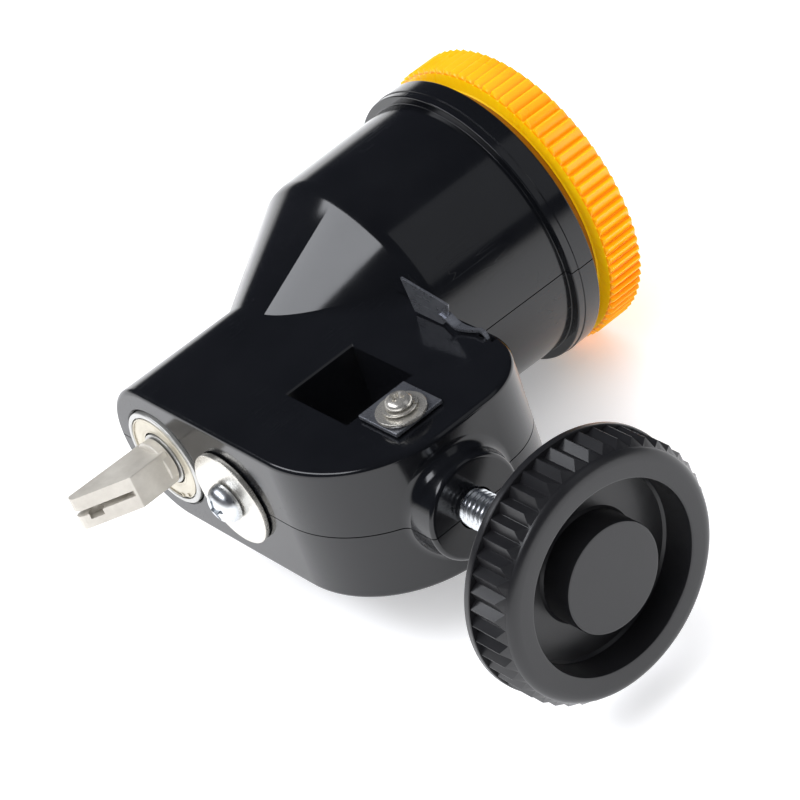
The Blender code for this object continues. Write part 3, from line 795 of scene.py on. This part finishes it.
def toothed(name, profile, depth, teeth, table, axis, at, closed=False):
    """Revolved solid whose (radius, height, amount, lean) points carry saw teeth of the given depth;
    lean moves a point along the axis in proportion to the tooth height."""
    angles = []
    for k in range(teeth):
        angles += [2 * math.pi * (k + f) / teeth for f, _ in table]
    heights = [h for _, h in table] * teeth
    bm = bmesh.new()
    rows = []
    for r, h, amount, *lean in profile:
        if r < 1e-6:
            rows.append([bm.verts.new((0, 0, h * MM))])
            continue
        dh = lean[0] if lean else 0.0
        rows.append([bm.verts.new(((r + depth * amount * t) * MM * math.cos(a),
                                   (r + depth * amount * t) * MM * math.sin(a), (h + dh * t) * MM))
                     for a, t in zip(angles, heights)])
    m = len(angles)
    for a, b in zip(rows, rows[1:] + (rows[:1] if closed else [])):
        for k in range(m):
            j = (k + 1) % m
            if len(a) == 1:
                bm.faces.new((a[0], b[k], b[j]))
            elif len(b) == 1:
                bm.faces.new((a[k], b[0], a[j]))
            else:
                bm.faces.new((a[k], b[k], b[j], a[j]))
    return from_bm(name, bm, Matrix.Translation(Vector(at) * MM) @ AXIS[axis])


root = DISC_R - 1.1
prof = [(0, DY1, 0), (root - 0.9, DY1, 0), (root - 0.35, DY1 - 0.08, 0.0), (root, DY1 - 0.30, 0.45),
        (root, DY1 - 0.75, 1.0), (root, DY0 + 0.42, 1.0), (root, DY0 + 0.12, 0.55), (root - 0.10, DY0, 0.0),
        (30.0, DY0, 0), (29.4 + 0.35, DY0 - 0.06, 0), (29.4, DY0 - 0.4, 0), (29.4, 92.3, 0), (29.0, 91.95, 0),
        (26.8, 91.9, 0), (26.8, 89.1, 0), (27.5, 88.7, 0), (27.5, 87.5, 0), (26.8, 87.1, 0), (26.6, 86.6, 0), (0, 86.6, 0)]
disc = toothed("disc", prof, 1.1, TEETH, TOOTH, 'Y', (0, 0, 0))
gap = (2 * math.pi * HOLE_PCR - sum(HOLES)) / len(HOLES)
s = 0.0
for d in HOLES:
    a = math.radians(90) + (s + d / 2) / HOLE_PCR
    s += d + gap
    disc = cut(disc, lathe("guide", [(0, 108), (d / 2 + 0.9, 108), (d / 2 + 0.9, DY1 + 0.3), (d / 2, DY1 - 0.6),
                                     (d / 2, 84), (0, 84)], 40, 'Y',
                           (HOLE_PCR * math.cos(a), 0, HOLE_PCR * math.sin(a))))
disc = cut(disc, rod("core", 9.0, 84, 99.5, 64))
done(disc, "selector_disc_fine", "selector", ["selector_disc"], M_AMBER, 28)

# ==========================================================================
# Clamp knob, bolt with a real thread, nut, pad
# ==========================================================================
KX0, KX1, KR = 98.6, 110.0, 26.4
FL = [(0.0, 1.0), (0.035, 1.0), (0.27, 0.5), (0.505, 0.03), (0.53, 0.03), (0.765, 0.5)]
at = (0, CLAMP_Y, 0)
kprof = [(0, KX1 - 0.2), (10.6, KX1 - 0.2), (10.98, KX1 - 0.32), (11.1, KX1 - 0.65), (11.1, 103.1),
         (11.6, 102.6), (18.7, 102.6), (19.2, 103.1), (19.2, KX1 - 0.55), (19.36, KX1 - 0.16),
         (19.75, KX1), (22.4, KX1), (23.3, KX1 - 0.10), (23.95, KX1 - 0.38), (24.45, KX1 - 0.80), (24.72, KX1 - 1.2),
         (24.80, KX1 - 1.6), (24.5, KX1 - 2.6), (24.5, KX0 + 1.74),
         (KR - 0.12, KX0 + 1.70), (KR, KX0 + 1.50), (KR, KX0 + 0.50), (KR - 0.15, KX0 + 0.18),
         (KR - 0.6, KX0), (10.4, KX0), (9.9, KX0 - 0.3), (8.0, KX0 - 3.8), (7.6, KX0 - 4.0), (0, KX0 - 4.0)]
knob = lathe("knob", kprof, 160, 'X', at)
flutes = toothed("flutes", [(23.9, KX1 - 1.5, 0, 0), (24.80, KX1 - 1.5, 0, 0), (24.80, KX1 - 1.55, 1.0, -1.6),
                            (24.80, KX0 + 1.0, 1.0, 0), (23.9, KX0 + 1.0, 0, 0)], 1.30, 47, FL, 'X', at, closed=True)
knob = join(knob, flutes)
knob = cut(knob, rod("k1", 4.0, KX0 - 6, KX0 + 4, 48, 'X', at),
           slab("k2", hexagon(13.6), 99.6, 105.7, shift(*at) @ X_UP))
done(knob, "clamp_knob_fine", "clamp_screw", ["clamp_knob"], M_KNOB, 30)


def threaded(name, x0, x1, r_out, r_in, pitch, segs=56):
    """Right-hand thread along X, run out to a plain core at both ends."""
    bm = bmesh.new()
    per = 10
    n = int((x1 - x0) / pitch * per)
    shape = []
    for i in range(per):
        f = i / per
        shape.append((f, 1.0 if f < 0.08 else (1 - (f - 0.08) / 0.36 if f < 0.44 else (0.0 if f < 0.58 else (f - 0.58) / 0.42))))
    shape.append((1.0, 1.0))

    def h(f):
        f = f % 1.0
        for (a, u), (b, v) in zip(shape, shape[1:]):
            if a <= f <= b:
                return u + (v - u) * (f - a) / (b - a)
        return 0.0
    rows = []
    for i in range(n + 1):
        x = x0 + (x1 - x0) * i / n
        row = []
        for k in range(segs):
            a = 2 * math.pi * k / segs
            run = min(1.0, (x - x0) / 1.2, (x1 - x) / 0.8)
            r = r_in + (r_out - r_in) * h(x / pitch - k / segs) * max(run, 0.0)
            row.append(bm.verts.new((x * MM, r * math.cos(a) * MM, r * math.sin(a) * MM)))
        rows.append(row)
    for a, b in zip(rows, rows[1:]):
        for k in range(segs):
            j = (k + 1) % segs
            bm.faces.new((a[k], b[k], b[j], a[j]))
    bm.faces.new(rows[0])
    bm.faces.new(rows[-1][::-1])
    return from_bm(name, bm, Matrix.Translation(Vector(at) * MM))


bolt = threaded("bolt", 50.4, 99.6, 3.92, 3.33, 1.25)
head = slab("head", hexagon(13.0), 99.9, 105.4, shift(*at) @ X_UP, edge=0.25)
neckrod = rod("neck", 3.3, 99.3, 100.4, 56, 'X', at)
bolt = merge("bolt", bolt, join(head, neckrod))
done(bolt, "clamp_bolt_fine", "clamp_screw", ["clamp_bolt"], M_ZINC, 40, weighted=False)
nut = slab("cn", hexagon(13.0), 57.0, 63.5, shift(*at) @ X_UP, edge=0.2)
nut = cut(nut, rod("cb", 4.0, 50, 70, 48, 'X', at))
done(nut, "clamp_nut_fine", "housing", ["clamp_nut"], M_ZINC)
pad = lathe("pad", softened([(0, 50.1), (3.7, 50.1), (3.7, 47.6), (0, 47.6)], [0, 0.3, 0.4, 0], 4), 64, 'X', at)
done(pad, "clamp_pad_fine", "clamp_tip", ["clamp_pad"], M_NYLON)


# ==========================================================================
# Screws, washers, plate and pointer
# ==========================================================================
def pan_screw(piece, node, head_r, head_h, shank_r, length, axis, where, flip, material, turn=0.0):
    dome = [(0.0, 1.0), (0.28, 0.985), (0.5, 0.93), (0.7, 0.82), (0.85, 0.66), (0.94, 0.48), (0.99, 0.28), (1.0, 0.16),
            (1.0, 0.05), (0.97, 0.0)]
    prof = [(head_r * a, head_h * b) for a, b in dome] + [(shank_r, 0), (shank_r, -length + 1.2), (0.4, -length), (0, -length)]
    ob = lathe("s", prof, 72, 'Z')
    bm = bmesh.new()
    # cross recess: two crossed tapered wings
    for q in range(2):
        l0, w0, l1, w1 = head_r * 0.60, 0.46, head_r * 0.26, 0.20
        zt, zb = head_h + 0.6, head_h * 0.28
        k = (zt - head_h) / (head_h - zb)
        l2, w2 = l0 + (l0 - l1) * k, w0 + (w0 - w1) * k
        cs = [(l2, w2, zt), (l1, w1, zb)]
        vs = []
        for l, w, z in cs:
            vs.append([bm.verts.new(Matrix.Rotation(math.radians(90 * q), 3, 'Z') @ Vector((sx * l, sy * w, z)) * MM)
                       for sx, sy in ((1, 1), (-1, 1), (-1, -1), (1, -1))])
        bm.faces.new(vs[0])
        bm.faces.new(vs[1][::-1])
        for i in range(4):
            j = (i + 1) % 4
            bm.faces.new((vs[0][i], vs[0][j], vs[1][j], vs[1][i]))
        tool = from_bm("cross", bm)
        ob = cut(ob, tool)
        bm = bmesh.new()
    bm.free()
    ob = cut(ob, lathe("cone", [(0, head_h + 0.2), (1.05, head_h + 0.2), (0.75, head_h * 0.45), (0, head_h * 0.2)], 24, 'Z'))
    m = Matrix.Rotation(math.radians(turn), 4, 'Z')
    if flip:
        m = Matrix.Rotation(math.pi, 4, 'X') @ m
    ob.data.transform(shift(*where) @ AXIS[axis] @ m)
    return done(ob, piece, "housing", [node], material, 35)


WY = FRONT_Y - 0.3
fw = ring("fw", 2.6, 10.5, WY - 1.2, WY, 128, 'Y', (23.6, 0, 0), 0.22, 4)
done(fw, "front_washer_fine", "housing", ["front_washer"], M_POLISH)
pan_screw("front_screw_fine", "front_screw", 4.3, 3.6, 2.0, 12.0, 'Y', (23.6, WY - 1.5, 0), True, M_ZINC, 12)
PZ = HALF_T + 0.3
PSX, PSY = 56.0, 24.3
plate = box("plate", 48.6, 60.2, 19.1, 31.0, PZ, PZ + 0.9, edge=0.18, n=3)
plate = cut(plate, rod("ph", 1.9, 0, 30, 40, 'Z', (PSX, PSY, 0)))
done(plate, "socket_plate_fine", "housing", ["socket_plate"], M_SPRING)
done(ring("pw", 1.9, 5.15, PZ + 1.2, PZ + 2.0, 96, 'Z', (PSX, PSY, 0), 0.12), "plate_washer_fine", "housing",
     ["plate_washer"], M_POLISH)


def split_ring(name, r0, r1, z0, t, lift, gap_deg, axis_at, segs=88):
    """Split spring washer: a flat section on one turn of a helix."""
    bm = bmesh.new()
    rows = []
    for i in range(segs + 1):
        f = i / segs
        a = math.radians(35 + gap_deg / 2 + (360 - gap_deg) * f)
        z = z0 + lift * f
        sec = softened([(r0, z), (r1, z), (r1, z + t), (r0, z + t)], 0.1, 2, True)
        rows.append([bm.verts.new(((axis_at[0] + r * math.cos(a)) * MM, (axis_at[1] + r * math.sin(a)) * MM, zz * MM))
                     for r, zz in sec])
    m = len(rows[0])
    for a, b in zip(rows, rows[1:]):
        for k in range(m):
            j = (k + 1) % m
            bm.faces.new((a[k], b[k], b[j], a[j]))
    bm.faces.new(rows[0])
    bm.faces.new(rows[-1][::-1])
    return from_bm(name, bm)


done(split_ring("sw", 1.9, 3.57, PZ + 2.3, 0.42, 0.16, 9, (PSX, PSY)), "plate_spring_washer_fine", "housing",
     ["plate_spring_washer"], M_POLISH)
pan_screw("plate_screw_fine", "plate_screw", 2.85, 1.7, 1.5, 9.2, 'Z', (PSX, PSY, PZ + 3.2), False, M_POLISH,
          28)

# pointer: pointed blade and the dished strip that carries it
blade = slab("blade", softened([(32.6, 16.5), (41.2, 16.4), (43.2, 18.0), (45.2, 22.6), (31.4, 24.6)],
                               [0.3, 0.4, 0.5, 0.25, 0.2], 3, True), -0.25, 0.25,
             shift(0, 48.0, 0) @ Matrix.Rotation(math.radians(90), 4, 'X'), edge=0.07, n=2)
keys = [(42.0, 19.2, 19.6), (43.5, 18.4, 18.95), (44.6, 17.1, 17.65), (45.4, 16.55, 17.1), (46.4, 16.35, 16.9), (48.4, 16.35, 16.9),
        (49.8, 16.6, 17.15), (50.9, 16.9, 17.45), (51.7, 16.3, 16.95)]
path = []
for (x, a, b), (x2, a2, b2) in zip(keys, keys[1:]):
    for i in range(5):
        f = i / 5
        path.append((x + (x2 - x) * f, a + (a2 - a) * f, b + (b2 - b) * f))
path.append(keys[-1])
bm = bmesh.new()
rows = []


def half_width(x):
    t = min(max((x - 43.6) / 8.0, 0.0), 1.0)
    return 1.0 if t < 0.2 else 1.0 - 0.55 * min((t - 0.2) * 2, 1.0)


def centre_y(x):
    t = min(max((x - 43.6) / 8.0, 0.0), 1.0)
    return 48.2 + 1.6 * t


for x, a, b in path:
    w, c = half_width(x), centre_y(x)
    dish = 0.12
    rows.append([bm.verts.new(Vector(p) * MM) for p in (
        (x, c - w, a + dish), (x, c, a), (x, c + w, a + dish),
        (x, c + w, b + dish), (x, c, b), (x, c - w, b + dish))])
for z in (15.6, 13.0, 10.0):
    w, c = half_width(52.2), centre_y(52.2)
    rows.append([bm.verts.new(Vector(p) * MM) for p in (
        (52.0, c - w, z), (52.0, c, z), (52.0, c + w, z), (52.5, c + w, z), (52.5, c, z), (52.5, c - w, z))])
for a, b in zip(rows, rows[1:]):
    for k in range(6):
        j = (k + 1) % 6
        bm.faces.new((a[k], b[k], b[j], a[j]))
bm.faces.new(rows[0])
bm.faces.new(rows[-1][::-1])
strip = from_bm("strip", bm)
blade = merge("pointer", blade, strip)
done(blade, "pointer_blade_fine", "housing", ["pointer_blade"], M_SPRING, 25)

for i, (sx, sy) in enumerate(SCREWS):
    pan_screw("housing_screw_fine_%d" % (i + 1), "housing_screw_%d" % (i + 1), 3.0, 1.9, 1.5, 21.0, 'Z',
              (sx, sy, -13.3), True, M_ZINC, 20 + 31 * i)

# remaining CAD nodes keep their shape and get procedural finishes
FINISH = {"front_bearing_ball_cage": M_BRG, "rear_bearing_ball_cage": M_BRG, "front_bearing_rear_shield": M_SHIELD,
          "rear_bearing_front_shield": M_SHIELD, "rear_bearing_rear_shield": M_SHIELD, "bearing_spacer": M_ZINC,
          "wheel_sleeve": M_ZINC, "wheel_rear_washer": M_ZINC, "wheel_front_washer": M_ZINC, "wheel_nut": M_ZINC}
for name, mat in FINISH.items():
    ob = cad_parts[name]
    ob.data.materials.clear()
    ob.data.materials.append(mat)

# ==========================================================================
# Floor, light and camera
# ==========================================================================
floor_bm = bmesh.new()
bmesh.ops.create_grid(floor_bm, x_segments=8, y_segments=8, size=3.0)
floor = from_bm("floor", floor_bm)
floor.location = (0, 0, -0.0002)
fm = Mat("floor_pale")
fcol = fm.ramp(fm.noise(3.0, 2.0), [(0.3, (0.90, 0.90, 0.905, 1)), (0.7, (0.93, 0.93, 0.935, 1))])
fm.set(Base_Color=fcol)
fm.b.inputs["Roughness"].default_value = 0.8
fm.set(Emission_Color=fcol)
fm.b.inputs["Emission Strength"].default_value = 0.34
floor.data.materials.append(fm.m)
floor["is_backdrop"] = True

cen = Vector((0.0, 0.0, 0.034))


def soft_box(name, direction, distance, size, power, colour=(1, 1, 1), glossy=True, size_y=None, up=None):
    d = Vector(direction).normalized()
    la = bpy.data.lights.new(name, 'AREA')
    la.shape = 'RECTANGLE'
    la.size = size
    la.size_y = size_y or size
    la.energy = power
    la.color = colour
    ob = bpy.data.objects.new(name, la)
    bpy.context.scene.collection.objects.link(ob)
    z = d
    x = (Vector(up) if up else Vector((0, 0, 1))).cross(z)
    if x.length < 1e-4:
        x = Vector((1, 0, 0))
    x.normalize()
    y = z.cross(x)
    ob.matrix_world = Matrix.Translation(cen + d * distance) @ Matrix((
        (x.x, y.x, z.x, 0), (x.y, y.y, z.y, 0), (x.z, y.z, z.z, 0), (0, 0, 0, 1)))
    ob.visible_glossy = glossy
    ob.visible_camera = False
    return ob


def sun(name, direction, strength, angle):
    la = bpy.data.lights.new(name, 'SUN')
    la.energy = strength
    la.angle = math.radians(angle)
    ob = bpy.data.objects.new(name, la)
    bpy.context.scene.collection.objects.link(ob)
    ob.rotation_mode = 'QUATERNION'
    ob.rotation_quaternion = Vector(direction).to_track_quat('Z', 'Y')
    ob.visible_glossy = False
    return ob


sun("key", (0.25, -0.55, 0.9), 1.45, 50)
sun("fill", (-0.5, 0.35, 0.9), 0.90, 60)
# long overhead softbox seen in the cone, dim panel seen in the barrel
A, B = Vector((-0.70, -0.32, 0.63)).normalized(), Vector((0.29, -0.60, 0.75)).normalized()
mid = (A + B).normalized()
soft_box("cone_box", mid, 1.1, 1.25, 7.3, (0.93, 0.95, 1.0), True, 0.30, up=(B - A).cross(mid))
soft_box("barrel_panel", (0.62, 0.46, 0.68), 1.2, 1.05, 0.6, (0.95, 0.97, 1.0), True, 0.5,
         up=Vector((0.18, 0.41, 0.90)).cross(Vector((0.87, 0.40, 0.30))))

world = bpy.data.worlds.new("studio")
bpy.context.scene.world = world
world.use_nodes = True
wt = world.node_tree
bg = wt.nodes["Background"]
geo = wt.nodes.new("ShaderNodeTexCoord")
sp = wt.nodes.new("ShaderNodeSeparateXYZ")
wt.links.new(geo.outputs["Generated"], sp.inputs[0])
rm = wt.nodes.new("ShaderNodeValToRGB")
rm.color_ramp.elements[0].position = 0.0
rm.color_ramp.elements[0].color = (1.5, 1.5, 1.5, 1)
rm.color_ramp.elements[1].position = 0.12
rm.color_ramp.elements[1].color = (0.034, 0.038, 0.050, 1)
wt.links.new(sp.outputs[2], rm.inputs["Fac"])
lp = wt.nodes.new("ShaderNodeLightPath")
mx = wt.nodes.new("ShaderNodeMix")
mx.data_type = 'RGBA'
wt.links.new(lp.outputs["Is Glossy Ray"], mx.inputs[0])
mx.inputs[6].default_value = (0.54, 0.545, 0.565, 1)
wt.links.new(rm.outputs["Color"], mx.inputs[7])
wt.links.new(mx.outputs[2], bg.inputs["Color"])
bg.inputs["Strength"].default_value = 1.0

right = Vector((0.62854136, 0.72660899, -0.27744393))
down = Vector((0.30885744, -0.56055893, -0.76836239))
fwd = Vector((-0.71382269, 0.39725692, -0.57675307))
cam_data = bpy.data.cameras.new("camera")
cam_data.sensor_width = 36.0
cam_data.lens = 3343.369 / 800.0 * 36.0
cam_data.clip_start, cam_data.clip_end = 0.01, 20.0
cam = bpy.data.objects.new("camera", cam_data)
bpy.context.scene.collection.objects.link(cam)
loc = ORG + Vector((507.72523, -226.63792, 384.87384)) * MM
cam.matrix_world = Matrix(((right.x, -down.x, -fwd.x, loc.x), (right.y, -down.y, -fwd.y, loc.y),
                           (right.z, -down.z, -fwd.z, loc.z), (0, 0, 0, 1)))
bpy.context.scene.camera = cam
bpy.context.scene.view_settings.view_transform = 'Standard'

bpy.context.view_layer.update()
lo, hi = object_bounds()
